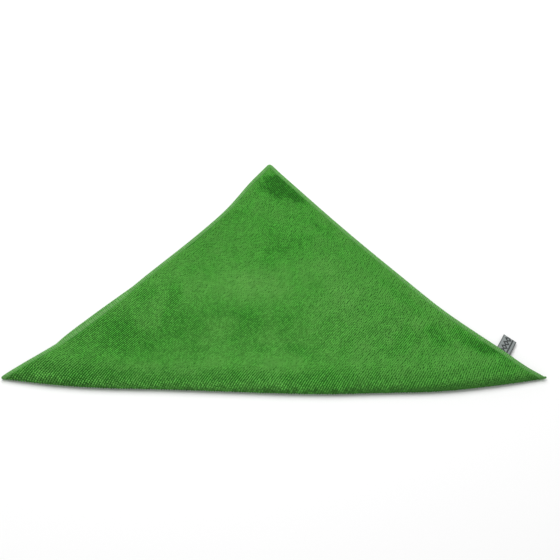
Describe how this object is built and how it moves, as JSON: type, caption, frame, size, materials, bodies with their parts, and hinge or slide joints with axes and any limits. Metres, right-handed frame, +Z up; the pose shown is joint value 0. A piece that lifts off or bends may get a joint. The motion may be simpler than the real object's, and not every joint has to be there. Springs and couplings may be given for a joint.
{
  "type": "microfibre cloth",
  "caption": "Square terry microfibre cloth with an overlocked hem, folded corner to corner into a flat triangle, with a small woven label in its hem.",
  "frame": {"origin": "on the surface that the cloth lies on, under the middle of the whole part", "axes": "+X to the right along the fold, +Y away from the fold towards the loose corners, +Z up"},
  "size_m": [0.5646, 0.2892, 0.011],
  "materials": {
    "cloth": "short looped microfibre pile in mid green, matt, with lighter and darker patches where the nap lies differently",
    "label": "woven grey ribbon with a darker edge and a plain braid of small lozenges"
  },
  "bodies": {
    "root": {"cloth": "cloth", "label": "label"}
  },
  "joints": []
}
